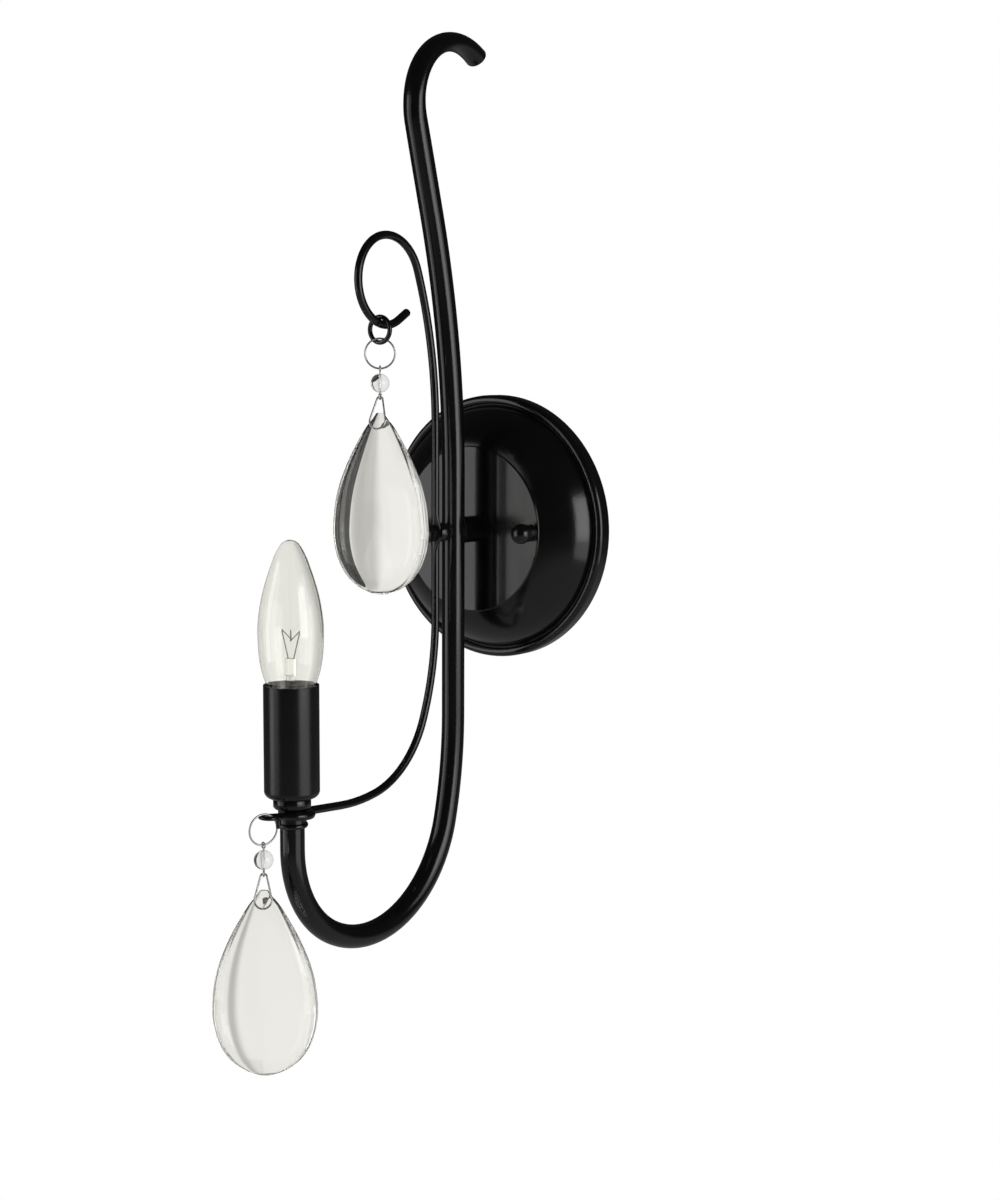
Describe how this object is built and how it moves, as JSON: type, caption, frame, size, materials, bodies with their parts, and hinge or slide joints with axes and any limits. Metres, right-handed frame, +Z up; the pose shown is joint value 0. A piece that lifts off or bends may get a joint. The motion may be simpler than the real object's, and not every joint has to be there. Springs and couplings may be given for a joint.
{
  "type": "wall sconce",
  "caption": "Wall sconce with a round stepped canopy, a curved tube arm with a hooked top, a wire scroll, a candle socket with torpedo lamp and hanging cut-glass drops.",
  "frame": {"origin": "centre of the canopy's back rim plane, on the wall", "axes": "+Z up, the wall is the plane Y=0 and the room is on the -Y side, the arm lies in the plane X=0"},
  "size_m": [0.12, 0.1753, 0.4319],
  "materials": {
    "black_paint": "semi-gloss black paint",
    "cover_black": "satin black paint",
    "zinc": "zinc plated",
    "ground_green": "green dyed zinc",
    "brass": "plain",
    "phenolic": "moulded",
    "lead_black": "insulation",
    "lead_white": "insulation",
    "clear_glass": "clear blown glass",
    "crystal_glass": "clear cut glass",
    "lamp_cap": "rolled",
    "tungsten": "drawn wire",
    "silver_wire": "bright"
  },
  "bodies": {
    "fixture": {"canopy": "black_paint", "mounting_bracket": "zinc", "bracket_studs": "zinc", "bracket_nuts": "zinc", "ground_screw": "ground_green", "canopy_cap_nuts": "black_paint", "stem_collar": "black_paint", "arm_nipple": "zinc", "nipple_washer": "zinc", "nipple_nut": "zinc", "arm_tube": "black_paint", "hook_end_plug": "black_paint", "centre_stud": "zinc", "spacer_bead": "black_paint", "wire_scroll": "black_paint", "front_cap_nut": "black_paint", "socket_hub": "black_paint", "hub_nipple": "zinc", "candle_cover": "cover_black", "socket_bracket": "zinc", "socket_lock_nut": "brass", "socket_body": "phenolic", "socket_rivets": "brass", "socket_shell": "brass", "socket_contact": "brass", "lamp_lead_hot": "lead_black", "lamp_lead_neutral": "lead_white"},
    "bulb": {"bulb_glass": "clear_glass", "bulb_base": "lamp_cap", "bulb_insulator": "phenolic", "bulb_contact": "lamp_cap", "bulb_stem": "clear_glass", "bulb_lead_wires": "tungsten", "bulb_filament": "tungsten"},
    "upper_ring": {"upper_jump_ring": "black_paint"},
    "upper_link": {"upper_link_ring": "silver_wire"},
    "upper_drop": {"upper_bead": "crystal_glass", "upper_bead_pin": "silver_wire"},
    "upper_pendant": {"upper_crystal_clip": "silver_wire", "upper_crystal": "crystal_glass"},
    "lower_link": {"lower_link_ring": "silver_wire"},
    "lower_drop": {"lower_bead": "crystal_glass", "lower_bead_pin": "silver_wire"},
    "lower_pendant": {"lower_crystal_clip": "silver_wire", "lower_crystal": "crystal_glass"}
  },
  "joints": [
    {"name": "bulb_lift", "type": "slide", "parent": "fixture", "child": "bulb", "axis": [0, 0, 1], "range_m": [0, 0.017]},
    {"name": "upper_ring_rock", "type": "hinge", "parent": "fixture", "child": "upper_ring", "pos_m": [0, -0.0865, 0.09051], "axis": [0, 1, 0], "range_deg": [-20, 20]},
    {"name": "upper_link_swing", "type": "hinge", "parent": "upper_ring", "child": "upper_link", "pos_m": [0, -0.0865, 0.08286], "axis": [1, 0, 0], "range_deg": [-6, 2]},
    {"name": "upper_drop_rock", "type": "hinge", "parent": "upper_link", "child": "upper_drop", "pos_m": [0, -0.0865, 0.07826], "axis": [0.5878, -0.809, 0], "range_deg": [-6, 6]},
    {"name": "upper_crystal_spin", "type": "hinge", "parent": "upper_drop", "child": "upper_pendant", "pos_m": [0, -0.0865, 0.05826], "axis": [0, 0, 1], "range_deg": [-25, 30]},
    {"name": "lower_link_swing", "type": "hinge", "parent": "fixture", "child": "lower_link", "pos_m": [0, -0.16146, -0.10744], "axis": [1, 0, 0], "range_deg": [-30, 3]},
    {"name": "lower_drop_rock", "type": "hinge", "parent": "lower_link", "child": "lower_drop", "pos_m": [0, -0.16146, -0.11214], "axis": [0.9511, -0.309, 0], "range_deg": [-5, 5]},
    {"name": "lower_crystal_spin", "type": "hinge", "parent": "lower_drop", "child": "lower_pendant", "pos_m": [0, -0.16146, -0.13214], "axis": [0, 0, 1], "range_deg": [-30, 30]}
  ]
}
